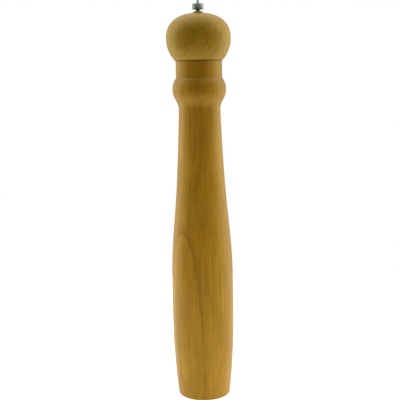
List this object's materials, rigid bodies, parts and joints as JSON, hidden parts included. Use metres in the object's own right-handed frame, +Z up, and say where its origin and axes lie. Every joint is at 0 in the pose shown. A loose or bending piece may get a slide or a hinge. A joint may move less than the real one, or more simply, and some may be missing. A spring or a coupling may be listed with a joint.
{
  "type": "pepper mill",
  "caption": "Tall turned wooden pepper mill whose round head turns a steel burr in the base, with a nut on top that sets the grind.",
  "frame": {"origin": "centre of the base, on the surface the mill stands on", "axes": "+Z up along the spindle, from the base to the spindle's tip"},
  "size_m": [0.0648, 0.0648, 0.4064],
  "materials": {
    "beech_wood": "satin clear lacquer over golden beech, fine lengthwise grain with short ray flecks",
    "plated_steel": "bright nickel plate with fine turning and rolling marks",
    "burr_steel": "hardened, dark, lightly oiled, cut teeth",
    "spring_steel": "drawn wire, lightly oiled"
  },
  "bodies": {
    "mill_body": {"body": "beech_wood", "stator": "burr_steel", "base_plate": "plated_steel", "base_plate_screw_1": "plated_steel", "base_plate_screw_2": "plated_steel", "base_plate_screw_3": "plated_steel", "bridge": "plated_steel", "bridge_rivet_1": "plated_steel", "bridge_rivet_2": "plated_steel"},
    "drive": {"thrust_washer": "plated_steel", "spring": "spring_steel"},
    "spindle": {"spindle": "plated_steel", "rotor": "burr_steel", "rotor_washer": "plated_steel", "rotor_nut": "plated_steel"},
    "head": {"head": "beech_wood", "drive_plate": "plated_steel", "drive_plate_screw_1": "plated_steel", "drive_plate_screw_2": "plated_steel", "escutcheon": "plated_steel"},
    "nut": {"finial_nut": "plated_steel"}
  },
  "joints": [
    {"name": "head_turn", "type": "hinge", "parent": "mill_body", "child": "drive", "pos_m": [0, 0, 0], "axis": [0, 0, 1], "continuous": true},
    {"name": "head_lift", "type": "slide", "parent": "drive", "child": "head", "axis": [0, 0, 1], "range_m": [0, 0.095]},
    {"name": "nut_turn", "type": "hinge", "parent": "head", "child": "nut", "pos_m": [0, 0, 0.4], "axis": [0, 0, -1], "range_deg": [0, 1080]},
    {"name": "spindle_lift", "type": "slide", "parent": "drive", "child": "spindle", "axis": [0, 0, 1], "range_m": [0, 0.0018], "deforming": ["spring"]}
  ],
  "couplings": [
    {"joint": "nut_turn", "follows": "spindle_lift", "rad_per_m": 10472}
  ]
}
